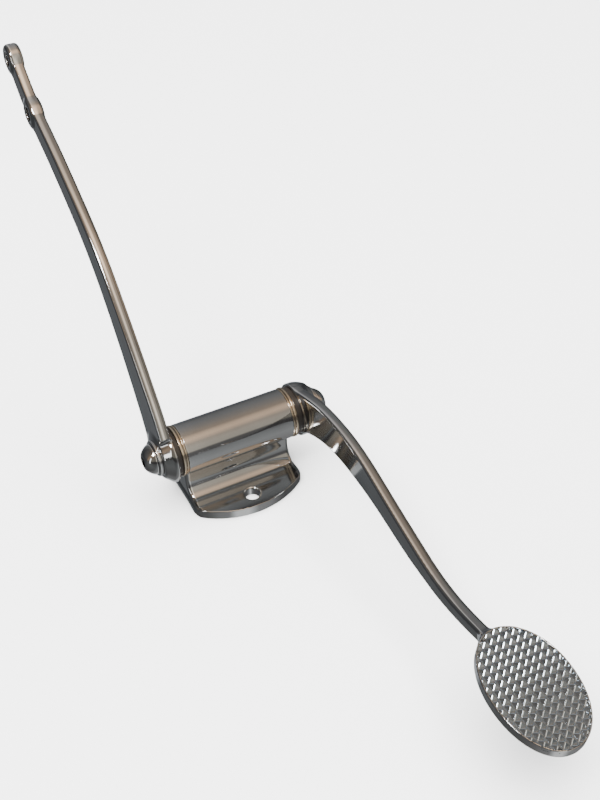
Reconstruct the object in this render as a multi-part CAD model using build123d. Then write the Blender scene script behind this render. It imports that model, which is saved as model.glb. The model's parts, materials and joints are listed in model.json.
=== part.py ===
from build123d import *
import math
import os

os.makedirs("parts", exist_ok=True)

# ---------------------------------------------------------------------------
# Floor-mounted foot pedal and lever on one cross shaft.
# X runs along the pivot axis, lever side negative and pedal side positive.
# Y runs from the pedal (negative) to the lever (positive).
# Z = 0 is the underside of the base; the origin is the centre of that face.
# ---------------------------------------------------------------------------

# pivot
PIVOT_H = 33.0          # pivot axis above the base underside
TUBE_R = 14.3
TUBE_LEN = 63.5
TUBE_BORE_R = 10.5

# base and neck
BASE_EDGE_R = 2.4
BASE_WAIST_W = 65.0     # along X, under the pivot
BASE_W = 67.4           # along X, at the flared ends
BASE_LEN = 67.5         # along Y, at the crown of the end arcs
BASE_T = 5.5
BASE_END_R = 50.0       # radius of the bowed front and rear edges
BASE_CORNER_R = 3.0
NECK_HALF = 6.8
NECK_FLARE_R = 10.0
BOLT_Y = 24.0
BOLT_HOLE_R = 4.3
BOLT_CHAMFER = 1.1

# bushings, thrust washers, shaft
FLANGE_R = 14.6
FLANGE_T = 3.2
SLEEVE_LEN = 24.0
SHAFT_R = 8.0
RUN_CLEAR = 0.04        # radial running clearance of the shaft
THRUST_GAP = 3.0        # bushing flange to arm hub
THRUST_T = 2.8
THRUST_R = 13.9
STUB_R = 6.5            # reduced shaft end inside an arm hub
TAP_R = 4.25
TAP_LEN = 26.0

# arms; the hubs differ, so theirs are by side: -1 for the lever, 1 for the pedal
HUB_T = {-1: 6.8, 1: 11.0}
HUB_R = {-1: 16.4, 1: 15.4}
HUB_FACE_R = {-1: 11.4, 1: 12.4}
HUB_LAND = {-1: 1.6, 1: 7.0}
ARM_T = 6.2
ARM_SET = 0.3                 # arm set back from the hub's inner face
EYE_CHAMFER = 0.7
EYE_T = 8.0
EYE_R = 8.2
EYE_BORE_R = 4.05
EYE_END = (184.8, 151.8)      # Y and height above the pivot
EYE_MID = (157.8, 130.8)

# fixings
KEY_W = 4.0
KEY_H = 4.0
KEY_LEN = 5.8
WASHER_R = 10.2
WASHER_T = 2.3
SCREW_R = 5.0
SCREW_LEN = 24.0
HEAD_R = 8.8
HEAD_H = 6.0
HEAD_RIM_H = 1.0
HEAD_CROWN_R = 4.6
HEX_AF = 6.0
HEX_DEPTH = 3.2

# pad
PAD_HALF_W = 21.5
PAD_HALF_L = 32.5
PAD_POWER = 2.05        # 2 is an ellipse, more is squarer
PAD_T = 6.8
PAD_TILT = 7.0          # degrees, toe end down
PAD_UNDER_R = 1.6       # rounding of the under edge
PAD_X = 1.25            # pad middle outboard of the arm mid plane
PAD_Y = -220.4
PAD_TOP = 10.0          # above the pivot, at the pad middle
PAD_RIM = 1.2           # plain rim round the knurl
KNURL_PITCH = 4.0
KNURL_DEPTH = 1.3

FACE = TUBE_LEN / 2 + FLANGE_T + THRUST_GAP    # pivot middle to arm hub face
ARM_X = FACE + ARM_SET + ARM_T / 2             # pivot middle to arm mid plane


def along_x(radius, x0, x1, y=0.0, z=PIVOT_H):
    """Cylinder whose axis is parallel to X, from x0 to x1."""
    return Pos((x0 + x1) / 2, y, z) * Rot(0, 90, 0) * Cylinder(radius, abs(x1 - x0))


def ring_x(outer, inner, x0, x1):
    return along_x(outer, x0, x1) - along_x(inner, x0 - 1, x1 + 1)


def side_face(points_left, points_right):
    """Closed face in the Y-Z plane between two smooth edges."""
    edge_a = Spline(*[(0, y, z) for y, z in points_left])
    edge_b = Spline(*[(0, y, z) for y, z in points_right])
    ends = [Line(edge_a @ 1, edge_b @ 1), Line(edge_b @ 0, edge_a @ 0)]
    return Face(Wire([edge_a, edge_b] + ends))


def offset_edges(stations):
    """Edges of a tapered bar from (y, z, half depth) stations on its middle line."""
    upper, lower = [], []
    for i, (y, z, half) in enumerate(stations):
        y0, z0, _ = stations[max(i - 1, 0)]
        y1, z1, _ = stations[min(i + 1, len(stations) - 1)]
        span = math.hypot(y1 - y0, z1 - z0)
        ny, nz = -(z1 - z0) / span, (y1 - y0) / span
        upper.append((y + ny * half, z + nz * half + PIVOT_H))
        lower.append((y - ny * half, z - nz * half + PIVOT_H))
    return upper, lower


def tapered_bar(stations, x_mid, thickness, edge_r):
    upper, lower = offset_edges(stations)
    bar = Pos(x_mid - thickness / 2, 0, 0) * extrude(side_face(upper, lower), thickness, dir=(1, 0, 0))
    longest = sorted(bar.edges(), key=lambda e: e.length)[-4:]
    return fillet(longest, edge_r)


def hub_body(side):
    """Arm hub: a land at the inner face, then a cone out to the screw face."""
    x_inner, thick, land_t = side * FACE, HUB_T[side], HUB_LAND[side]
    land = along_x(HUB_R[side], x_inner, x_inner + side * land_t)
    cone = Rot(0, side * 90, 0) * Cone(HUB_R[side], HUB_FACE_R[side], thick - land_t)
    return land + Pos(x_inner + side * (land_t + thick) / 2, 0, PIVOT_H) * cone


def hub_cuts(side):
    """Shaft stub bore and the hub half of the keyway."""
    x_inner, thick = side * FACE, HUB_T[side]
    bore = along_x(STUB_R, x_inner - side, x_inner + side * (thick + 1))
    slot = Pos(x_inner + side * thick / 2, 0, PIVOT_H + STUB_R) * Box(thick + 2, KEY_W, KEY_H)
    return bore + slot


def pivot_bracket():
    half_w, half_l, waist = BASE_W / 2, BASE_LEN / 2, BASE_WAIST_W / 2
    edges = []
    for sign in (-1, 1):
        corner_y = half_l - BASE_END_R + math.sqrt(BASE_END_R ** 2 - half_w ** 2)
        left, right = (-half_w, sign * corner_y), (half_w, sign * corner_y)
        edges.append(ThreePointArc(left, (0, sign * half_l), right))
        edges.append(ThreePointArc((sign * half_w, -corner_y), (sign * waist, 0), (sign * half_w, corner_y)))
    outline = make_face(Wire(edges))
    outline = fillet(outline.vertices(), BASE_CORNER_R)
    plate = extrude(outline, BASE_T)
    plate = fillet(plate.faces().sort_by(Axis.Z)[-1].edges(), BASE_EDGE_R)

    toe = NECK_HALF + NECK_FLARE_R
    top = BASE_T + NECK_FLARE_R
    low = BASE_T - BASE_EDGE_R
    bend = NECK_FLARE_R * (1 - math.sqrt(0.5))
    wire = Wire([
        Line((0, -toe, low), (0, -toe, BASE_T)),
        ThreePointArc((0, -toe, BASE_T), (0, -NECK_HALF - bend, BASE_T + bend), (0, -NECK_HALF, top)),
        Line((0, -NECK_HALF, top), (0, -NECK_HALF, PIVOT_H)),
        Line((0, -NECK_HALF, PIVOT_H), (0, NECK_HALF, PIVOT_H)),
        Line((0, NECK_HALF, PIVOT_H), (0, NECK_HALF, top)),
        ThreePointArc((0, NECK_HALF, top), (0, NECK_HALF + bend, BASE_T + bend), (0, toe, BASE_T)),
        Line((0, toe, BASE_T), (0, toe, low)),
        Line((0, toe, low), (0, -toe, low)),
    ])
    x0, x1 = -TUBE_LEN / 2, TUBE_LEN / 2
    neck = Pos(x0, 0, 0) * extrude(Face(wire), TUBE_LEN, dir=(1, 0, 0))
    body = plate + neck + along_x(TUBE_R, x0, x1)
    body -= along_x(TUBE_BORE_R, x0 - 1, x1 + 1)
    for y in (-BOLT_Y, BOLT_Y):
        body -= Pos(0, y, 0) * Cylinder(BOLT_HOLE_R, 40)
        body -= Pos(0, y, BASE_T - BOLT_CHAMFER / 2) * Cone(
            BOLT_HOLE_R, BOLT_HOLE_R + BOLT_CHAMFER, BOLT_CHAMFER)
    return body


def bushing(side):
    """Flanged bronze sleeve pressed into one end of the pivot tube."""
    end = side * TUBE_LEN / 2
    body = along_x(FLANGE_R, end, end + side * FLANGE_T)
    body += along_x(TUBE_BORE_R, end, end - side * SLEEVE_LEN)
    rims = [e for e in body.edges().filter_by(GeomType.CIRCLE) if abs(e.radius - FLANGE_R) < 0.01]
    body = chamfer(rims, 0.5)
    return body - along_x(SHAFT_R + RUN_CLEAR, end - side * 30, end + side * 10)


def thrust_washer(side):
    start = side * (TUBE_LEN / 2 + FLANGE_T + (THRUST_GAP - THRUST_T) / 2)
    return ring_x(THRUST_R, SHAFT_R + 0.15, *sorted((start, start + side * THRUST_T)))


def pivot_shaft():
    body = along_x(SHAFT_R, -FACE, FACE)
    for side in (-1, 1):
        start = side * FACE
        tip = start + side * (HUB_T[side] - 0.4)
        body += along_x(STUB_R, start, tip)
        body -= along_x(TAP_R, tip + side, tip - side * TAP_LEN)
        slot_x = start + side * KEY_LEN / 2
        body -= Pos(slot_x, 0, PIVOT_H + STUB_R) * Box(KEY_LEN, KEY_W, KEY_H)
    return body


def arm_key(side):
    x = side * (FACE + KEY_LEN / 2)
    return Pos(x, 0, PIVOT_H + STUB_R) * Box(KEY_LEN, KEY_W, KEY_H)


def lever_arm():
    stations = [
        (2.0, 6.0, 13.6), (9.6, 18.3, 13.0), (17.0, 27.6, 12.2), (27.4, 40.0, 11.3),
        (38.7, 52.8, 10.3), (54.4, 69.1, 9.4), (71.3, 84.6, 8.6), (91.6, 98.3, 7.8),
        (114.6, 110.8, 7.4), (139.6, 122.9, 7.1), (157.8, 130.8, 6.9), (172.0, 140.9, 6.6),
        (184.8, 151.8, 6.3),
    ]
    body = hub_body(-1) + tapered_bar(stations, -ARM_X, ARM_T, 1.2)
    for y, z in (EYE_END, EYE_MID):
        eye = along_x(EYE_R, -ARM_X - EYE_T / 2, -ARM_X + EYE_T / 2, y, PIVOT_H + z)
        body += chamfer(eye.edges().filter_by(GeomType.CIRCLE), EYE_CHAMFER)
    for y, z in (EYE_END, EYE_MID):
        body -= along_x(EYE_BORE_R, -ARM_X - EYE_T, -ARM_X + EYE_T, y, PIVOT_H + z)
    return body - hub_cuts(-1)


def pad_outline(half_w, half_l, count=40):
    """Oval between an ellipse and a rectangle, as one closed smooth face."""
    points = []
    for i in range(count):
        a = 2 * math.pi * i / count
        c, s = math.cos(a), math.sin(a)
        x = half_w * math.copysign(abs(c) ** (2 / PAD_POWER), c)
        y = half_l * math.copysign(abs(s) ** (2 / PAD_POWER), s)
        points.append((x, y))
    return make_face(Spline(*points, periodic=True))


def groove(length, along_pad):
    """One V groove of the knurl, lying in the pad face."""
    half = KNURL_PITCH / 2
    tri = make_face(Polyline((-half, 0.02), (0, -KNURL_DEPTH), (half, 0.02), close=True))
    bar = extrude(Plane.XZ * tri, length / 2, both=True)
    return bar if along_pad else Rot(0, 0, 90) * bar


def pad():
    """Oval foot pad, its top face at z = 0 and its toe end towards -Y."""
    body = Pos(0, 0, -PAD_T) * extrude(pad_outline(PAD_HALF_W, PAD_HALF_L), PAD_T)
    body = fillet(body.faces().sort_by(Axis.Z)[0].edges(), PAD_UNDER_R)
    cutter = None
    across, along = int(PAD_HALF_W / KNURL_PITCH), int(PAD_HALF_L / KNURL_PITCH) + 1
    for i in range(1 - across, across):
        bar = Pos(i * KNURL_PITCH, 0, 0) * groove(2 * PAD_HALF_L + 8, True)
        cutter = bar if cutter is None else cutter + bar
    for j in range(-along, along):
        cutter += Pos(0, (j + 0.5) * KNURL_PITCH, 0) * groove(2 * PAD_HALF_W + 8, False)
    inside = Pos(0, 0, -PAD_T) * extrude(pad_outline(PAD_HALF_W - PAD_RIM, PAD_HALF_L - PAD_RIM), 2 * PAD_T)
    return body - (cutter & inside)


def pedal_arm():
    stations = [
        (0.0, 0.0, 14.6), (-14.0, 6.6, 13.0), (-30.0, 12.6, 11.2), (-46.0, 15.4, 10.0),
        (-60.0, 15.8, 9.6), (-72.0, 14.8, 8.9), (-85.0, 12.7, 7.8), (-98.0, 9.8, 7.0),
        (-112.0, 6.5, 6.5), (-125.0, 3.8, 6.0), (-137.0, 1.8, 5.0), (-149.0, 0.6, 4.6),
        (-161.0, 0.9, 4.2), (-173.0, 2.5, 4.0), (-184.0, 4.9, 3.8), (-196.0, 7.4, 3.2),
    ]
    bar = tapered_bar(stations, ARM_X, ARM_T, 1.2)
    foot = Pos(ARM_X + PAD_X, PAD_Y, PIVOT_H + PAD_TOP) * Rot(PAD_TILT, 0, 0) * pad()
    return hub_body(1) + bar + foot - hub_cuts(1)


def flat_washer(side):
    start = side * (FACE + HUB_T[side])
    body = ring_x(WASHER_R, SCREW_R + 0.3, *sorted((start, start + side * WASHER_T)))
    rims = [e for e in body.edges().filter_by(GeomType.CIRCLE) if abs(e.radius - WASHER_R) < 0.01]
    return chamfer(rims, 0.3)


def button_screw(side):
    """Button-head socket screw threaded into one end of the shaft."""
    seat = side * (FACE + HUB_T[side] + WASHER_T)
    rise = HEAD_H - HEAD_RIM_H
    head = Pos(0, 0, HEAD_RIM_H / 2) * Cylinder(HEAD_R, HEAD_RIM_H)
    dome = ThreePointArc((HEAD_R, 0, HEAD_RIM_H), (HEAD_R * 0.86, 0, HEAD_RIM_H + rise * 0.55),
                         (HEAD_CROWN_R, 0, HEAD_H))
    half = Wire([Line((0, 0, HEAD_RIM_H), (HEAD_R, 0, HEAD_RIM_H)), dome,
                 Line((HEAD_CROWN_R, 0, HEAD_H), (0, 0, HEAD_H)),
                 Line((0, 0, HEAD_H), (0, 0, HEAD_RIM_H))])
    head += revolve(Face(half), Axis.Z)
    head -= Pos(0, 0, HEAD_H - HEX_DEPTH) * extrude(
        RegularPolygon(HEX_AF / math.sqrt(3), 6), HEX_DEPTH + 1)
    shank = Pos(0, 0, -WASHER_T / 2 - 0.2) * Cylinder(SCREW_R, WASHER_T + 0.4)
    thread = Pos(0, 0, -SCREW_LEN / 2) * Cylinder(TAP_R, SCREW_LEN)
    turn = Rot(0, side * 90, 0)
    return Pos(seat, 0, PIVOT_H) * turn * (head + shank + thread)


SIDES = {"lever": -1, "pedal": 1}

nodes = {
    "pivot_bracket": pivot_bracket(),
    "pivot_shaft": pivot_shaft(),
    "lever_arm": lever_arm(),
    "pedal_arm": pedal_arm(),
}
for name, side in SIDES.items():
    nodes[f"{name}_bushing"] = bushing(side)
    nodes[f"{name}_thrust_washer"] = thrust_washer(side)
    nodes[f"{name}_key"] = arm_key(side)
    nodes[f"{name}_washer"] = flat_washer(side)
    nodes[f"{name}_screw"] = button_screw(side)

for name, shape in nodes.items():
    shape.label = name
    export_step(shape, f"parts/{name}.step")
    box = shape.bounding_box()
    print(name, "solids", len(shape.solids()), "volume", round(shape.volume, 1),
          [round(v, 1) for v in (*box.min, *box.max)])
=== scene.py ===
import json
import math

import bmesh
import bpy
import numpy as np
from mathutils import Matrix, Vector


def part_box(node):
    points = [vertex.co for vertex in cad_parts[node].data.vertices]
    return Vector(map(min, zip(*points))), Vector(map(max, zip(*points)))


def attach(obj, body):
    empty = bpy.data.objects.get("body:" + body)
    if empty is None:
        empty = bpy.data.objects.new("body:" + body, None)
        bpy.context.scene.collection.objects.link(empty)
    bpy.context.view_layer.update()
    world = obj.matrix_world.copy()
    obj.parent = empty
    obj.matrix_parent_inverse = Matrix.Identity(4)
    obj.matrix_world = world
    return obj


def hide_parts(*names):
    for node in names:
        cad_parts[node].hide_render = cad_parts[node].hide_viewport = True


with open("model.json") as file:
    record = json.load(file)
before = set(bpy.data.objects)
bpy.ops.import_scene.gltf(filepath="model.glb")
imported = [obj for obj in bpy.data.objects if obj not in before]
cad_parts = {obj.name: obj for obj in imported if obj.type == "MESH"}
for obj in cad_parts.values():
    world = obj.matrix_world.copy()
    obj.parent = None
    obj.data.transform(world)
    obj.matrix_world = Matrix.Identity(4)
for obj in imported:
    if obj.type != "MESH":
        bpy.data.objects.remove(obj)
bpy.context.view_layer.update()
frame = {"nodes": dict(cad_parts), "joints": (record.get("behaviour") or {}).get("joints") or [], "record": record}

# ---------------------------------------------------------------------------
# Places from the frame. Shapes are worked out in millimetres, pivot-centred:
# X along the shaft, Y towards the lever, Z up. They become metres when a mesh is made.
# ---------------------------------------------------------------------------

MM = 0.001
PIVOT = Vector(frame["joints"][0]["pos_m"])
MOUNTS = {m["name"]: m for m in frame["record"]["mounts"]}


def node_box(node):
    """Lowest and highest corner of a CAD node in millimetres from the pivot."""
    low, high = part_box(node)
    return (low - PIVOT) / MM, (high - PIVOT) / MM


def mount_place(name):
    return (Vector(MOUNTS[name]["pos_m"]) - PIVOT) / MM


def span_x(node, side):
    """Nearest and furthest reach of a node along the shaft, outwards on its own side."""
    low, high = node_box(node)
    return (low.x, high.x) if side > 0 else (-high.x, -low.x)


SIDES = {"lever": -1, "pedal": 1}
BRACKET_LOW, BRACKET_HIGH = node_box("pivot_bracket")
RING_HIGH = node_box("pedal_bushing")[1]
SPACER_LOW, SPACER_HIGH = node_box("pedal_thrust_washer")
PEDAL_LOW, PEDAL_HIGH = node_box("pedal_arm")

# pivot bracket
TUBE_R = BRACKET_HIGH.z
FLANGE_T = 3.2
FLANGE_R = RING_HIGH.z
TUBE_END = RING_HIGH.x - FLANGE_T
TUBE_BORE_R = 10.5
BUSH_BORE_R = 8.05
SPACER_BORE_R = 8.2
SPACER_EDGE = 0.3
BASE_UNDER = BRACKET_LOW.z
BASE_T = 5.5
BASE_HALF_W = BRACKET_HIGH.x + 0.2
BASE_WAIST = 32.5
BASE_HALF_L = BRACKET_HIGH.y
BASE_END_R = 50.0
BASE_CORNER_R = 3.2
BASE_ROUND = 2.8
NECK_HALF = 6.8
NECK_FLARE_R = 10.0
NECK_END_ROUND = 2.2
NECK_BLEND_TOP = -6.0       # the tube's end is sharp above this height
NECK_BLEND_LEN = 8.0
NECK_BLEND_LEAST = 0.06
TUBE_FILLET = 1.0
BOLT_EDGE = 0.9
BOLT_Y = MOUNTS["base_bolts"]["dims"]["spacing_y_mm"] / 2
BOLT_R = MOUNTS["base_bolts"]["dims"]["hole_r_mm"]

# groove turned in each bush ring, as a bead, a fine gap and a taller lip
BEAD_SHARE = 0.36
BEAD_DROP = 0.35
BEAD_EDGE = 0.4
LIP_EDGE = 0.6
GROOVE_W = 0.12
GROOVE_DEPTH = 0.9

# arms; values by side are for the lever at -1 and the pedal at 1
HUB_IN = span_x("pedal_key", 1)[0]
HUB_OUT = {side: span_x(f"{name}_washer", side)[0] for name, side in SIDES.items()}
HUB_R = {-1: 16.4, 1: 15.4}
HUB_FACE_R = {-1: 11.6, 1: 12.4}
HUB_LAND = {-1: 1.2, 1: 7.0}
HUB_ROUND = {-1: 1.2, 1: 2.6}
HUB_OUT_ROUND = 0.8
HUB_IN_ROUND = 0.6
HUB_BLEND = {-1: 3.0, 1: 2.0}
ARM_X = -mount_place("lever_end_eye").x
ARM_T = 6.2
STUB_R = 6.5
STUB_EDGE = 0.3
LEVER_EDGE = 0.9
LEVER_CROWN = 0.8
LEVER_CROWN_LOSS = 0.3
LEVER_CROWN_FADE = (90.0, 90.0)     # start and length along the arm, as in all the ranges below
PEDAL_EDGE = 1.0
PEDAL_EDGE_GAIN = 0.5
PEDAL_EDGE_FADE = (120.0, 60.0)
PEDAL_CROWN = 0.5
PEDAL_CROWN_LOSS = 0.3
PEDAL_CROWN_FADE = (150.0, 40.0)
SCOOP_DEPTH = 0.6
SCOOP_IN = (14.0, 16.0)
SCOOP_OUT = (44.0, 50.0)
FLARE = 3.2
FLARE_RANGE = (183.0, 15.0)
EYE_T = 8.0
EYE_R = 8.2
EYE_ROUND = 2.2
EYE_BLEND = 1.6
EYE_EDGE = 0.9
EYE_BORE_R = MOUNTS["lever_end_eye"]["dims"]["r_mm"]
EYE_END = mount_place("lever_end_eye")
EYE_MID = mount_place("lever_mid_eye")

# pad
PAD_X = ARM_X + 1.25
PAD_HALF_W = PEDAL_HIGH.x - PAD_X
PAD_HALF_L = 32.5
PAD_POWER = 2.05
PAD_T = 6.8
PAD_TILT = math.radians(7.0)
PAD_Y = -220.4
PAD_TOP = 10.0
PAD_CROWN = 0.9
PAD_RIM = 0.8
PAD_UNDER_ROUND = 1.8
PAD_BLEND = 5.0
PAD_TOP_EDGE = 0.35
PAD_TRIM_REACH = 6.0        # past the pad's oval by this much, the pad's top plane cuts nothing
WELL_EDGE = 0.2
TREAD_PITCH = 4.0
TREAD_DEPTH = 1.4
TREAD_RISE = 0.35
TREAD_SHIFT = 1.0
RIDGE_BEVEL = 0.34
WELL_BELOW = 0.3            # depth of the well below the tread's valleys
TREAD_GAP = 0.05            # the tread runs this much under the rim
TREAD_SKIRT = 0.25

# end screws
WASHER_R = node_box("pedal_washer")[1].z
WASHER_OUT = {side: span_x(f"{name}_washer", side)[1] for name, side in SIDES.items()}
HEAD_H = span_x("pedal_screw", 1)[1] - WASHER_OUT[1]
HEAD_R = node_box("pedal_screw")[1].z
HEAD_ROUND = 0.5
HEAD_DOME_R = 9.3
HEAD_DOME_BACK = 2.4        # dome centre behind the seat
HEX_HALF = 3.0
HEX_DEPTH = 3.4
HEX_EDGE = 0.25
WASHER_BORE_R = 5.3
WASHER_EDGE = 0.7

# mesh grid
STEP = 0.6
HEAD_STEP = 0.3


# ---------------------------------------------------------------------------
# Distance shapes. Each takes points (n, 3) and gives the distance to a surface,
# negative inside.
# ---------------------------------------------------------------------------

def smooth_union(a, b, radius):
    """Union with a round fillet of that radius in the corner between a and b."""
    u = np.maximum(radius - a, 0.0)
    v = np.maximum(radius - b, 0.0)
    return np.maximum(radius, np.minimum(a, b)) - np.hypot(u, v)


def round_both(a, b, radius):
    """Intersection whose edge is rounded to that radius."""
    u = np.maximum(a + radius, 0.0)
    v = np.maximum(b + radius, 0.0)
    return np.minimum(-radius, np.maximum(a, b)) + np.hypot(u, v)


def cut_away(a, b, radius):
    return round_both(a, -b, radius)


def slab(values, low, high):
    return np.maximum(low - values, values - high)


def radius_x(points, y=0.0, z=0.0):
    """Distance from a line parallel to X."""
    return np.hypot(points[:, 1] - y, points[:, 2] - z)


def barrel_outline(x, y):
    """Plan of the base: waisted sides, bowed ends, rounded corners."""
    inset = BASE_CORNER_R
    waist = (BASE_HALF_W - BASE_WAIST) * (1 - np.minimum((y / BASE_HALF_L) ** 2, 1.0))
    half_w = BASE_HALF_W - inset - waist
    bow_r = BASE_END_R - inset
    bow_y = BASE_HALF_L - BASE_END_R
    side = np.abs(x) - half_w
    front = np.hypot(x, -y - bow_y) - bow_r
    back = np.hypot(x, y - bow_y) - bow_r
    ends = np.maximum(front, back)
    return corner_round(side, ends, inset)


def corner_round(side, ends, radius):
    """Corner of the two outlines, each moved in by radius, rounded to that radius."""
    outside = np.hypot(np.maximum(side, 0.0), np.maximum(ends, 0.0))
    return outside + np.minimum(np.maximum(side, ends), 0.0) - radius


def bracket_distance(p):
    x, y, z = p[:, 0], p[:, 1], p[:, 2]
    top = BASE_UNDER + BASE_T
    plate = round_both(barrel_outline(x, y), z - top, BASE_ROUND)
    neck = np.maximum(np.abs(y) - NECK_HALF, slab(z, BASE_UNDER + 1.0, 0.0))
    neck = smooth_union(neck, z - top, NECK_FLARE_R)
    tube = radius_x(p) - TUBE_R
    body = smooth_union(neck, tube, TUBE_FILLET)
    body = round_both(body, np.abs(x) - TUBE_END, NECK_END_ROUND * blend_low(z))
    body = np.maximum(body, barrel_outline(x, y))
    body = np.minimum(body, plate)
    body = np.maximum(body, TUBE_BORE_R - radius_x(p))
    for sign in (-1, 1):
        hole = np.hypot(x, y - sign * BOLT_Y) - BOLT_R
        body = np.where(z < 0, cut_away(body, hole, BOLT_EDGE), body)
    return np.maximum(body, BASE_UNDER - z)


def blend_low(z):
    """1 at the neck and below, falling to a sharp tube end above."""
    return np.clip((NECK_BLEND_TOP - z) / NECK_BLEND_LEN, NECK_BLEND_LEAST, 1.0)


def hub_distance(p, side):
    """Flat land at the inner face, then a cone out to the screw face."""
    x = p[:, 0] * side
    r = radius_x(p) - HUB_R[side]
    land_x = HUB_IN + HUB_LAND[side]
    slope = math.atan2(HUB_R[side] - HUB_FACE_R[side], HUB_OUT[side] - land_x)
    cone = r * math.cos(slope) + (x - land_x) * math.sin(slope)
    disc = round_both(r, cone, HUB_ROUND[side])
    disc = round_both(disc, x - HUB_OUT[side], HUB_OUT_ROUND)
    return round_both(disc, HUB_IN - x, HUB_IN_ROUND)


def smooth_curve(stations, count=1200):
    """Middle line and half depth of a bar as dense tables over u."""
    stations = np.array(stations, float)
    u, fields = stations[:, 0], stations[:, 1:]
    fine = np.linspace(u[0], u[-1], count)
    tables = [evened(natural_spline(u, fields[:, k], fine)) for k in range(fields.shape[1])]
    slope = np.gradient(tables[0], fine)
    return fine, tables[0], tables[1], slope


def evened(table, reach=90):
    """Table with its small waves averaged out, its ends kept."""
    start = 2 * table[0] - table[reach:0:-1]
    end = 2 * table[-1] - table[-2:-reach - 2:-1]
    window = np.hanning(2 * reach + 1)
    return np.convolve(np.concatenate([start, table, end]), window / window.sum(), "valid")


def natural_spline(x, y, at):
    """Natural cubic spline through the points (x, y), read at the values at."""
    n = len(x)
    h = np.diff(x)
    system = np.eye(n)
    right = np.zeros(n)
    for i in range(1, n - 1):
        system[i, i - 1:i + 2] = h[i - 1], 2 * (h[i - 1] + h[i]), h[i]
        right[i] = 3 * ((y[i + 1] - y[i]) / h[i] - (y[i] - y[i - 1]) / h[i - 1])
    c = np.linalg.solve(system, right)
    k = np.clip(np.searchsorted(x, at) - 1, 0, n - 2)
    t = at - x[k]
    b = (y[k + 1] - y[k]) / h[k] - h[k] * (2 * c[k] + c[k + 1]) / 3
    return y[k] + b * t + c[k] * t ** 2 + (c[k + 1] - c[k]) / (3 * h[k]) * t ** 3


def rise(u, start, length):
    """Smooth step from 0 to 1 over a length."""
    t = np.clip((u - start) / length, 0.0, 1.0)
    return t * t * (3 - 2 * t)


def bar_distance(p, x_mid, heading, curve, half_t, round_r, crown):
    """Bar on edge: its middle line and depth follow a curve laid along heading.

    half_t(u, w) is its half thickness, w being 0 at the middle line and 1 at the edges.
    The two narrow faces stand out by crown(u) in their middle.
    """
    fine, middle, half, slope = curve
    c, s = math.cos(heading), math.sin(heading)
    u = p[:, 1] * c + p[:, 2] * s
    v = -p[:, 1] * s + p[:, 2] * c
    m, h, g = (np.interp(u, fine, t) for t in (middle, half, slope))
    across = np.minimum(np.abs(p[:, 0] - x_mid) / (ARM_T / 2), 1.0)
    depth = (np.abs(v - m) - h + crown(u) * across ** 2) / np.sqrt(1 + g * g)
    depth = np.maximum(depth, slab(u, fine[0], fine[-1]))
    side = np.abs(p[:, 0] - x_mid) - half_t(u, np.abs(v - m) / h)
    return round_both(depth, side, round_r(u))


LEVER_HEADING = math.atan2(EYE_END.z, EYE_END.y)


def along_heading(stations, heading):
    """(y, z, half) stations turned into (u, v, half) along heading."""
    c, s = math.cos(heading), math.sin(heading)
    return [(y * c + z * s, -y * s + z * c, half) for y, z, half in stations]


# Stations (y, z, half depth) on each arm's middle line. They were worked out from the edges
# of the arms in the reference picture, carried back onto the arm's plane.
LEVER_CURVE = smooth_curve(along_heading([
    (2.0, 6.0, 14.6), (9.6, 18.3, 13.6), (17.0, 27.6, 12.5), (27.4, 40.0, 11.5),
    (38.7, 52.8, 10.5), (54.4, 69.1, 9.5), (71.3, 84.6, 8.7), (91.6, 98.3, 7.9),
    (114.6, 110.8, 7.5), (139.6, 122.9, 7.2), (157.8, 130.8, 7.0), (172.0, 140.9, 6.7),
    (184.8, 151.8, 6.4)], LEVER_HEADING))

PEDAL_HEADING = math.pi
PEDAL_CURVE = smooth_curve(along_heading([
    (0.0, 0.0, 14.6), (-14.0, 6.6, 13.2), (-30.0, 12.6, 11.4), (-46.0, 15.4, 10.2),
    (-60.0, 15.8, 9.7), (-72.0, 14.8, 9.0), (-85.0, 12.7, 7.9), (-98.0, 9.8, 7.1),
    (-112.0, 6.5, 6.6), (-125.0, 3.8, 6.1), (-137.0, 1.8, 5.1), (-149.0, 0.6, 4.7),
    (-161.0, 0.9, 4.3), (-173.0, 2.5, 4.1), (-184.0, 4.9, 3.9), (-198.0, 7.6, 3.2)],
    PEDAL_HEADING))


def lever_round(u):
    return np.full_like(u, LEVER_EDGE)


def lever_crown(u):
    """The narrow faces are fuller near the hub than at the eyes."""
    return LEVER_CROWN - LEVER_CROWN_LOSS * rise(u, *LEVER_CROWN_FADE)


def lever_half_t(u, w):
    return np.full_like(u, ARM_T / 2)


def lever_distance(p):
    bar = bar_distance(p, -ARM_X, LEVER_HEADING, LEVER_CURVE, lever_half_t, lever_round, lever_crown)
    body = smooth_union(bar, hub_distance(p, -1), HUB_BLEND[-1])
    thick = np.abs(p[:, 0] + ARM_X) - EYE_T / 2
    for eye in (EYE_END, EYE_MID):
        boss = round_both(radius_x(p, eye.y, eye.z) - EYE_R, thick, EYE_ROUND)
        body = smooth_union(body, boss, EYE_BLEND)
    for eye in (EYE_END, EYE_MID):
        body = cut_away(body, radius_x(p, eye.y, eye.z) - EYE_BORE_R, EYE_EDGE)
    return cut_away(body, radius_x(p) - STUB_R, STUB_EDGE)


def pad_coordinates(p):
    """Points in the pad's own axes: across, along towards the toe, and up."""
    c, s = math.cos(PAD_TILT), math.sin(PAD_TILT)
    y, z = p[:, 1] - PAD_Y, p[:, 2] - PAD_TOP
    across, along, up = p[:, 0] - PAD_X, -y * c - z * s, -y * s + z * c
    return across, along, up + PAD_CROWN * (along / PAD_HALF_L) ** 2


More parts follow.
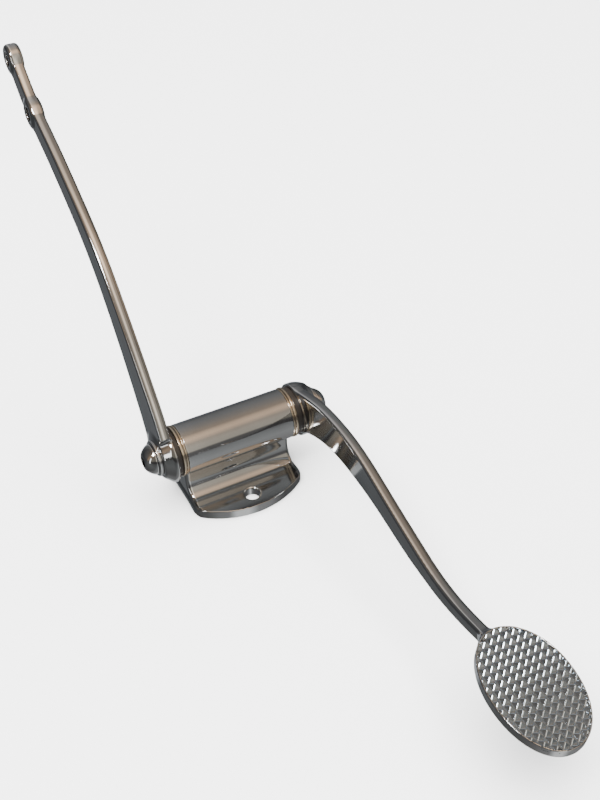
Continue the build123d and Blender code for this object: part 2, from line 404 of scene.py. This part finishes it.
def pad_outline(across, along):
    """First-order distance to the pad's oval."""
    a = np.abs(across / PAD_HALF_W) + 1e-9
    b = np.abs(along / PAD_HALF_L) + 1e-9
    size = (a ** PAD_POWER + b ** PAD_POWER) ** (1 / PAD_POWER)
    steep = np.hypot((a / size) ** (PAD_POWER - 1) / PAD_HALF_W, (b / size) ** (PAD_POWER - 1) / PAD_HALF_L)
    return (size - 1) / steep


def pedal_round(u):
    return PEDAL_EDGE + PEDAL_EDGE_GAIN * rise(u, *PEDAL_EDGE_FADE)


def pedal_crown(u):
    return PEDAL_CROWN - PEDAL_CROWN_LOSS * rise(u, *PEDAL_CROWN_FADE)


def pedal_half_t(u, w):
    """Scooped sides next to the hub, and a neck that spreads into the pad."""
    scoop = rise(u, *SCOOP_IN) * (1 - rise(u, *SCOOP_OUT))
    hollow = SCOOP_DEPTH * scoop * (1 - np.minimum(w, 1.0) ** 2)
    return ARM_T / 2 - hollow + FLARE * rise(u, *FLARE_RANGE)


def pedal_distance(p):
    bar = bar_distance(p, ARM_X, PEDAL_HEADING, PEDAL_CURVE, pedal_half_t, pedal_round, pedal_crown)
    across, along, up = pad_coordinates(p)
    edge = pad_outline(across, along)
    pad = round_both(edge, -PAD_T - up, PAD_UNDER_ROUND)
    body = smooth_union(bar, pad, PAD_BLEND)
    body = round_both(body, np.where(edge < PAD_TRIM_REACH, up, -9.0), PAD_TOP_EDGE)
    well = np.maximum(edge + PAD_RIM, -TREAD_DEPTH - WELL_BELOW - up)
    body = cut_away(body, well, WELL_EDGE)
    body = smooth_union(body, hub_distance(p, 1), HUB_BLEND[1])
    return cut_away(body, radius_x(p) - STUB_R, STUB_EDGE)


def screw_distance(p, side):
    x = p[:, 0] * side - WASHER_OUT[side]
    r = radius_x(p)
    dome = np.hypot(x + HEAD_DOME_BACK, r) - HEAD_DOME_R
    head = round_both(np.maximum(dome, r - HEAD_R), x - HEAD_H, HEAD_ROUND)
    head = round_both(head, -x, HEAD_ROUND)
    y, z = np.abs(p[:, 1]), np.abs(p[:, 2])
    hexagon = np.maximum(z, y * math.cos(math.pi / 6) + z * 0.5) - HEX_HALF
    return cut_away(head, np.maximum(hexagon, HEAD_H - HEX_DEPTH - x), HEX_EDGE)


# ---------------------------------------------------------------------------
# Meshes from distance shapes
# ---------------------------------------------------------------------------

def sample_field(distance, low, shape, step):
    """Distances on a grid, worked out finely only near the surface."""
    axes = [low[k] + step * np.arange(shape[k]) for k in range(3)]
    block = 4
    coarse_axes = [a[::block] + step * (block - 1) / 2 for a in axes]
    coarse = distance(grid_points(coarse_axes)).reshape([len(a) for a in coarse_axes])
    field = coarse
    for k in range(3):
        field = np.repeat(field, block, axis=k)
    field = field[:shape[0], :shape[1], :shape[2]].copy()
    near = np.abs(field) < step * block * 1.6
    index = np.nonzero(near)
    points = np.stack([axes[k][index[k]] for k in range(3)], axis=1)
    field[near] = distance(points)
    return field


def grid_points(axes):
    return np.stack(np.meshgrid(*axes, indexing="ij"), axis=-1).reshape(-1, 3)


def surface_net(field, low, step):
    """One vertex in each cell that the surface crosses, and a quad for each crossed edge."""
    inside = field < 0
    cells = tuple(n - 1 for n in field.shape)
    total = np.zeros(cells + (3,))
    count = np.zeros(cells, int)
    for axis in range(3):
        head = [slice(None)] * 3
        tail = [slice(None)] * 3
        head[axis], tail[axis] = slice(0, -1), slice(1, None)
        a, b = field[tuple(head)], field[tuple(tail)]
        crossed = inside[tuple(head)] != inside[tuple(tail)]
        share = np.where(crossed, a / np.where(crossed, a - b, 1.0), 0.0)
        others = [k for k in range(3) if k != axis]
        for i in (0, 1):
            for j in (0, 1):
                pick = [slice(None)] * 3
                pick[others[0]] = slice(i, i + cells[others[0]])
                pick[others[1]] = slice(j, j + cells[others[1]])
                hit = crossed[tuple(pick)]
                total[..., axis] += share[tuple(pick)] * hit
                total[..., others[0]] += i * hit
                total[..., others[1]] += j * hit
                count += hit
    used = np.argwhere(count > 0)
    number = np.full(cells, -1)
    number[tuple(used.T)] = np.arange(len(used))
    offset = total[tuple(used.T)] / count[tuple(used.T)][:, None]
    verts = low + step * (used + offset)
    return verts, np.concatenate([quads_across(inside, number, axis) for axis in range(3)])


def quads_across(inside, number, axis):
    head = [slice(None)] * 3
    tail = [slice(None)] * 3
    head[axis], tail[axis] = slice(0, -1), slice(1, None)
    a, b = inside[tuple(head)], inside[tuple(tail)]
    edges = np.argwhere(a != b)
    u, v = [k for k in range(3) if k != axis]
    corners = []
    for du, dv in ((-1, -1), (0, -1), (0, 0), (-1, 0)):
        cell = edges.copy()
        cell[:, u] += du
        cell[:, v] += dv
        corners.append(number[tuple(cell.T)])
    quads = np.stack(corners, axis=1)
    outward = a[tuple(edges.T)] != (axis == 1)
    quads[~outward] = quads[~outward][:, ::-1]
    return quads


def gradient(distance, points, eps=0.03):
    out = np.empty_like(points)
    for k in range(3):
        shift = np.zeros(3)
        shift[k] = eps
        out[:, k] = (distance(points + shift) - distance(points - shift)) / (2 * eps)
    return out


def carved(name, distance, low, high, step):
    """Object whose vertices lie on the distance shape's surface."""
    low = np.array(low, float) - 2.5 * step
    shape = tuple(int(n) for n in np.ceil((np.array(high) - low) / step) + 4)
    verts, quads = surface_net(sample_field(distance, low, shape, step), low, step)
    for _ in range(3):
        slope = gradient(distance, verts)
        size = np.maximum((slope ** 2).sum(1), 0.2)
        move = slope * (distance(verts) / size)[:, None]
        verts = verts - np.clip(move, -step / 2, step / 2)
    normals = gradient(distance, verts)
    normals /= np.maximum(np.linalg.norm(normals, axis=1), 1e-6)[:, None]
    return mesh_object(name, verts, quads.tolist(), normals)


def mesh_object(name, verts, faces, normals=None):
    """Object from vertices in millimetres about the pivot."""
    mesh = bpy.data.meshes.new(name)
    places = np.asarray(verts) * MM + np.array(PIVOT)
    mesh.from_pydata(places.tolist(), [], faces)
    mesh.polygons.foreach_set("use_smooth", [True] * len(mesh.polygons))
    if normals is not None:
        mesh.normals_split_custom_set_from_vertices(normals.tolist())
    mesh.update()
    obj = bpy.data.objects.new(name, mesh)
    bpy.context.scene.collection.objects.link(obj)
    return obj


def lathe(name, profile, side, segments=128):
    """Closed ring turned about the pivot axis from (x, radius) points."""
    verts, faces = [], []
    n = len(profile)
    for i in range(segments):
        a = 2 * math.pi * i / segments
        verts += [(side * x, r * math.cos(a), r * math.sin(a)) for x, r in profile]
    for i in range(segments):
        j = (i + 1) % segments
        for k in range(n):
            m = (k + 1) % n
            quad = (i * n + k, i * n + m, j * n + m, j * n + k)
            faces.append(quad if side > 0 else quad[::-1])
    return mesh_object(name, verts, faces)


def rounded_profile(x0, x1, r_in, r_out, edge, steps=5):
    """Rectangle in (x, radius) with its two outer corners rounded."""
    points = [(x0, r_in), (x0, r_out - edge)]
    for cx, start in ((x0 + edge, math.pi), (x1 - edge, math.pi / 2)):
        for k in range(steps + 1):
            a = start - math.pi / 2 * k / steps
            points.append((cx + edge * math.cos(a), r_out - edge + edge * math.sin(a)))
    points += [(x1, r_in)]
    return points[::-1]


def grooved_profile(x0, x1, r_in, r_out):
    """Ring in (x, radius): a low bead, a fine groove and a taller rounded lip."""
    split = x0 + BEAD_SHARE * (x1 - x0)
    bead = rounded_profile(x0, split, r_in, r_out - BEAD_DROP, BEAD_EDGE)
    lip = rounded_profile(split + GROOVE_W, x1, r_in, r_out, LIP_EDGE)
    floor_r = r_out - GROOVE_DEPTH
    return lip[:-2] + [(split + GROOVE_W, floor_r), (split, floor_r)] + bead[2:]


# ---------------------------------------------------------------------------
# Materials
# ---------------------------------------------------------------------------

def add_node(tree, kind, **values):
    node = tree.nodes.new(kind)
    for key, value in values.items():
        if key in node.inputs:
            node.inputs[key].default_value = value
        else:
            setattr(node, key, value)
    return node


def mix_colour(tree, factor, a, b):
    mix = add_node(tree, "ShaderNodeMix", data_type="RGBA")
    tree.links.new(factor, mix.inputs[0])
    mix.inputs[6].default_value = (*a, 1)
    mix.inputs[7].default_value = (*b, 1)
    return mix.outputs[2]


def value_range(tree, source, low, high):
    node = add_node(tree, "ShaderNodeMapRange")
    tree.links.new(source, node.inputs["Value"])
    node.inputs["To Min"].default_value = low
    node.inputs["To Max"].default_value = high
    return node.outputs["Result"]


CLOUD_SCALE = 60.0
POLISH_SCALE = 9 * CLOUD_SCALE
GRAIN_SCALE = 900.0
GRAIN_REACH = 0.0002


def metal(name, light, dark, rough, scratch):
    """Plated or turned metal: clouded colour, uneven polish, fine hairline marks."""
    material = bpy.data.materials.new(name)
    material.use_nodes = True
    tree = material.node_tree
    shader = tree.nodes["Principled BSDF"]
    shader.inputs["Metallic"].default_value = 1.0
    place = add_node(tree, "ShaderNodeTexCoord")
    clouds = add_node(tree, "ShaderNodeTexNoise", Scale=CLOUD_SCALE, Detail=5.0, Roughness=0.55)
    tree.links.new(place.outputs["Object"], clouds.inputs["Vector"])
    tree.links.new(mix_colour(tree, clouds.outputs["Fac"], dark, light), shader.inputs["Base Color"])
    polish = add_node(tree, "ShaderNodeTexNoise", Scale=POLISH_SCALE, Detail=3.0, Roughness=0.6)
    tree.links.new(place.outputs["Object"], polish.inputs["Vector"])
    tree.links.new(value_range(tree, polish.outputs["Fac"], *rough), shader.inputs["Roughness"])
    grain = add_node(tree, "ShaderNodeTexNoise", Scale=GRAIN_SCALE, Detail=2.0, Distortion=0.3)
    tree.links.new(place.outputs["Object"], grain.inputs["Vector"])
    bump = add_node(tree, "ShaderNodeBump", Strength=scratch, Distance=GRAIN_REACH)
    tree.links.new(grain.outputs["Fac"], bump.inputs["Height"])
    tree.links.new(bump.outputs["Normal"], shader.inputs["Normal"])
    return material


CHROME = metal("chrome_plate", (0.62, 0.625, 0.63), (0.5, 0.5, 0.5), (0.04, 0.11), 0.03)
TREAD = metal("chrome_tread", (0.56, 0.62, 0.68), (0.45, 0.5, 0.55), (0.08, 0.18), 0.05)
BRONZE = metal("bearing_bronze", (0.66, 0.58, 0.47), (0.48, 0.40, 0.30), (0.12, 0.25), 0.08)
STEEL = metal("ground_steel", (0.42, 0.42, 0.43), (0.34, 0.34, 0.35), (0.2, 0.35), 0.1)


def dark_plastic():
    material = metal("oiled_acetal", (0.012, 0.009, 0.007), (0.005, 0.004, 0.003), (0.3, 0.5), 0.1)
    material.node_tree.nodes["Principled BSDF"].inputs["Metallic"].default_value = 0.0
    return material


ACETAL = dark_plastic()


def finish_piece(obj, material, slot, body, *nodes):
    obj.data.materials.clear()
    obj.data.materials.append(material)
    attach(obj, body)
    if nodes:
        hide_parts(*nodes)
    return obj


# ---------------------------------------------------------------------------
# Pieces
# ---------------------------------------------------------------------------

def tread_mesh():
    """Rows of square pyramids clipped to the pad's inner oval."""
    mesh = bmesh.new()
    half_i = int(PAD_HALF_W / TREAD_PITCH) + 2
    half_j = int(PAD_HALF_L / TREAD_PITCH) + 2
    corner = {}

    def corner_vert(i, j):
        if (i, j) not in corner:
            corner[i, j] = mesh.verts.new(((i - 0.5) * TREAD_PITCH, (j - 0.5) * TREAD_PITCH, -TREAD_DEPTH))
        return corner[i, j]

    for i in range(-half_i, half_i + 1):
        for j in range(-half_j, half_j + 1):
            apex = mesh.verts.new((i * TREAD_PITCH, j * TREAD_PITCH, TREAD_RISE))
            ring = [corner_vert(i + di, j + dj) for di, dj in ((0, 0), (1, 0), (1, 1), (0, 1))]
            for k in range(4):
                mesh.faces.new((ring[k], ring[(k + 1) % 4], apex))
    ridges = [e for e in mesh.edges if abs(e.verts[0].co.z - e.verts[1].co.z) > TREAD_DEPTH / 2]
    bmesh.ops.bevel(mesh, geom=ridges, offset=RIDGE_BEVEL, segments=2, profile=0.5, affect="EDGES")
    for v in mesh.verts:
        v.co.x += TREAD_SHIFT
    clip_to_oval(mesh, PAD_RIM - TREAD_GAP)
    close_below(mesh, -TREAD_DEPTH - TREAD_SKIRT)
    return mesh


def clip_to_oval(mesh, inset, sides=96):
    for k in range(sides):
        a = 2 * math.pi * (k + 0.5) / sides
        c, s = math.cos(a), math.sin(a)
        x = (PAD_HALF_W - inset) * math.copysign(abs(c) ** (2 / PAD_POWER), c)
        y = (PAD_HALF_L - inset) * math.copysign(abs(s) ** (2 / PAD_POWER), s)
        out = Vector((math.copysign(abs(x / PAD_HALF_W) ** (PAD_POWER - 1), x) / PAD_HALF_W,
                      math.copysign(abs(y / PAD_HALF_L) ** (PAD_POWER - 1), y) / PAD_HALF_L, 0))
        geometry = mesh.verts[:] + mesh.edges[:] + mesh.faces[:]
        bmesh.ops.bisect_plane(mesh, geom=geometry, plane_co=(x, y, 0), plane_no=out.normalized(),
                               clear_outer=True)


def close_below(mesh, depth):
    rim = [e for e in mesh.edges if e.is_boundary]
    made = bmesh.ops.extrude_edge_only(mesh, edges=rim)["geom"]
    low = [v for v in made if isinstance(v, bmesh.types.BMVert)]
    for v in low:
        v.co.z = depth
    bottom = [e for e in made if isinstance(e, bmesh.types.BMEdge) and e.is_boundary]
    bmesh.ops.contextual_create(mesh, geom=bottom)
    bmesh.ops.recalc_face_normals(mesh, faces=mesh.faces[:])


def pad_tread():
    mesh = tread_mesh()
    verts = np.array([v.co for v in mesh.verts])
    faces = [[v.index for v in f.verts] for f in mesh.faces]
    mesh.free()
    across, along, up = verts.T
    up = up - PAD_CROWN * (along / PAD_HALF_L) ** 2
    c, s = math.cos(PAD_TILT), math.sin(PAD_TILT)
    places = np.stack([across + PAD_X, PAD_Y - along * c - up * s, PAD_TOP - along * s + up * c], axis=1)
    obj = mesh_object("pad_tread", places, [f[::-1] for f in faces])
    obj.data.polygons.foreach_set("use_smooth", [False] * len(obj.data.polygons))
    return obj


def build_pieces():
    bracket = carved("bracket_casting", bracket_distance, BRACKET_LOW, BRACKET_HIGH, STEP)
    finish_piece(bracket, CHROME, "plated_bracket", "bracket", "pivot_bracket")
    low, high = node_box("lever_arm")
    lever = carved("lever_forging", lever_distance, low, high, STEP)
    finish_piece(lever, CHROME, "plated_lever", "rocker", "lever_arm")
    pedal = carved("pedal_forging", pedal_distance, PEDAL_LOW, PEDAL_HIGH + Vector((0, 0, 1)), STEP)
    finish_piece(pedal, CHROME, "plated_pedal", "rocker", "pedal_arm")
    finish_piece(pad_tread(), TREAD, "plated_pedal", "rocker", "pedal_arm")
    for name, side in SIDES.items():
        end_hardware(name, side)


def end_hardware(name, side):
    """Ring, spacer, washer and screw at one end of the pivot."""
    flange = grooved_profile(TUBE_END, RING_HIGH.x, BUSH_BORE_R, FLANGE_R)
    ring = lathe(f"{name}_bush_ring", flange, side)
    finish_piece(ring, BRONZE, "bushing_bronze", "bracket", f"{name}_bushing")
    gap = rounded_profile(SPACER_LOW.x, SPACER_HIGH.x, SPACER_BORE_R, SPACER_HIGH.z, SPACER_EDGE)
    spacer = lathe(f"{name}_spacer", gap, side)
    finish_piece(spacer, ACETAL, "thrust_washer_black", "bracket", f"{name}_thrust_washer")
    flat = rounded_profile(HUB_OUT[side], WASHER_OUT[side], WASHER_BORE_R, WASHER_R, WASHER_EDGE)
    washer = lathe(f"{name}_flat_washer", flat, side)
    finish_piece(washer, CHROME, "plated_washer", "rocker", f"{name}_washer")
    box = [side * (WASHER_OUT[side] - 0.5), side * (WASHER_OUT[side] + HEAD_H + 0.5)]
    low = (min(box), -HEAD_R - 0.5, -HEAD_R - 0.5)
    high = (max(box), HEAD_R + 0.5, HEAD_R + 0.5)
    head = carved(f"{name}_button_head", lambda p: screw_distance(p, side), low, high, HEAD_STEP)
    finish_piece(head, CHROME, "plated_screw", "rocker", f"{name}_screw")


def dress_cad_nodes():
    for name in ("pivot_shaft", "lever_key", "pedal_key"):
        obj = frame["nodes"][name]
        for spot in obj.material_slots:
            spot.material = STEEL


# ---------------------------------------------------------------------------
# Floor, light and camera
# ---------------------------------------------------------------------------

FLOOR_HALF = 6.0
FLOOR_GREY = 0.86


def floor():
    mesh = bmesh.new()
    bmesh.ops.create_grid(mesh, x_segments=1, y_segments=1, size=FLOOR_HALF)
    data = bpy.data.meshes.new("floor")
    mesh.to_mesh(data)
    mesh.free()
    obj = bpy.data.objects.new("floor", data)
    bpy.context.scene.collection.objects.link(obj)
    material = bpy.data.materials.new("pale_floor")
    material.use_nodes = True
    shader = material.node_tree.nodes["Principled BSDF"]
    shader.inputs["Base Color"].default_value = (FLOOR_GREY, FLOOR_GREY, FLOOR_GREY, 1)
    shader.inputs["Roughness"].default_value = 0.9
    obj.data.materials.append(material)
    obj.visible_glossy = False


# Area lights: place, target, size and power. The overhead one isn't reflected.
OVERHEAD = ((0.0, 0.0, 2.2), (0, 0, 0), (3.0, 3.0), 260.0)
SIDE_WINDOW = (PIVOT + 1.8 * Vector((-0.92, -0.33, 0.2)), PIVOT, (0.2, 1.0), 2.2)
WINDOW = (PIVOT + 1.6 * Vector((-0.52, -0.21, 0.83)), PIVOT, (0.3, 0.5), 16.0)


def area_light(name, place, target, size, power, reflected=True):
    light = bpy.data.lights.new(name, "AREA")
    light.shape = "RECTANGLE"
    light.size, light.size_y = size
    light.energy = power
    obj = bpy.data.objects.new(name, light)
    obj.location = place
    obj.rotation_euler = (Vector(target) - Vector(place)).to_track_quat("-Z", "Y").to_euler()
    obj.visible_glossy = reflected
    bpy.context.scene.collection.objects.link(obj)


def ramp_node(tree, factor, stops):
    ramp = add_node(tree, "ShaderNodeValToRGB")
    tree.links.new(factor, ramp.inputs["Fac"])
    elements = ramp.color_ramp.elements
    while len(elements) < len(stops):
        elements.new(0.5)
    for element, (position, colour) in zip(elements, stops):
        element.position = position
        element.color = (*colour, 1)
    return ramp.outputs["Color"]


# What stands round the object, by angle from the floor in front, over the top, to the floor behind.
ROOM = [
    (-180, (0.13, 0.135, 0.145)), (-135, (0.18, 0.19, 0.20)), (-85, (0.30, 0.30, 0.30)),
    (-40, (0.38, 0.39, 0.39)), (-8, (0.28, 0.29, 0.29)), (3, (0.12, 0.115, 0.115)),
    (15, (0.15, 0.145, 0.14)), (21, (0.54, 0.50, 0.42)), (38, (0.58, 0.52, 0.43)),
    (52, (0.54, 0.46, 0.37)), (70, (1.02, 0.74, 0.52)), (80, (0.90, 0.66, 0.47)),
    (94, (0.44, 0.35, 0.27)), (118, (0.32, 0.29, 0.26)), (145, (0.24, 0.24, 0.24)),
    (165, (0.20, 0.20, 0.20)), (180, (0.13, 0.135, 0.145)),
]

# How bright it is towards each side, by the sideways part of the direction.
# The values in both tables were set by comparing the render with the reference picture.
ROOM_SIDES = [
    (-1.0, 0.5), (-0.6, 0.4), (-0.5, 0.42), (-0.35, 0.75), (-0.2, 0.85), (-0.08, 2.8),
    (0.1, 2.8), (0.27, 1.0), (0.48, 0.85), (0.64, 0.35), (0.8, 0.5), (1.0, 0.8),
]
PLAIN_STRENGTH = 2.2        # white world seen by every ray that isn't glossy


def sky():
    """A room seen only in the plating: grey floor, dark skirting, warm wall. All else is plain white."""
    world = bpy.data.worlds.new("studio")
    bpy.context.scene.world = world
    world.use_nodes = True
    tree = world.node_tree
    links = tree.links
    place = add_node(tree, "ShaderNodeTexCoord")
    split = add_node(tree, "ShaderNodeSeparateXYZ")
    links.new(place.outputs["Generated"], split.inputs[0])
    front = add_node(tree, "ShaderNodeMath", operation="MULTIPLY")
    links.new(split.outputs["Y"], front.inputs[0])
    front.inputs[1].default_value = -1.0
    angle = add_node(tree, "ShaderNodeMath", operation="ARCTAN2")
    links.new(split.outputs["Z"], angle.inputs[0])
    links.new(front.outputs[0], angle.inputs[1])
    turn = add_node(tree, "ShaderNodeMapRange")
    links.new(angle.outputs[0], turn.inputs["Value"])
    turn.inputs["From Min"].default_value = -math.pi
    turn.inputs["From Max"].default_value = math.pi
    room = ramp_node(tree, turn.outputs["Result"], [((a + 180) / 360, c) for a, c in ROOM])
    side = add_node(tree, "ShaderNodeMapRange")
    links.new(split.outputs["X"], side.inputs["Value"])
    side.inputs["From Min"].default_value = -1.0
    left = ramp_node(tree, side.outputs["Result"], [((x + 1) / 2, (v, v, v)) for x, v in ROOM_SIDES])
    shade = add_node(tree, "ShaderNodeVectorMath", operation="MULTIPLY")
    links.new(room, shade.inputs[0])
    links.new(left, shade.inputs[1])
    background = tree.nodes["Background"]
    links.new(shade.outputs[0], background.inputs["Color"])
    plain = add_node(tree, "ShaderNodeBackground")
    plain.inputs["Color"].default_value = (1, 1, 1, 1)
    plain.inputs["Strength"].default_value = PLAIN_STRENGTH
    path = add_node(tree, "ShaderNodeLightPath")
    mix = add_node(tree, "ShaderNodeMixShader")
    links.new(path.outputs["Is Glossy Ray"], mix.inputs[0])
    links.new(plain.outputs[0], mix.inputs[1])
    links.new(background.outputs[0], mix.inputs[2])
    links.new(mix.outputs[0], tree.nodes["World Output"].inputs["Surface"])


LENS = 54.0
SENSOR_W = 36.0
CAMERA_PLACE = Vector((-194.6, -448.8, 454.2))      # millimetres from the pivot
CAMERA_RIGHT = Vector((0.8839, -0.4677, 0.0))
CAMERA_BACK = Vector((-0.3502, -0.6623, 0.6623))


def camera():
    data = bpy.data.cameras.new("camera")
    data.lens = LENS
    data.sensor_width = SENSOR_W
    obj = bpy.data.objects.new("camera", data)
    up = CAMERA_BACK.cross(CAMERA_RIGHT)
    turn = Matrix((CAMERA_RIGHT, up, CAMERA_BACK)).transposed().to_4x4()
    obj.matrix_world = Matrix.Translation(PIVOT + CAMERA_PLACE * MM) @ turn
    bpy.context.scene.collection.objects.link(obj)
    bpy.context.scene.camera = obj


build_pieces()
dress_cad_nodes()
floor()
sky()
area_light("overhead", *OVERHEAD, reflected=False)
area_light("side_window", *SIDE_WINDOW)
area_light("window", *WINDOW)
camera()
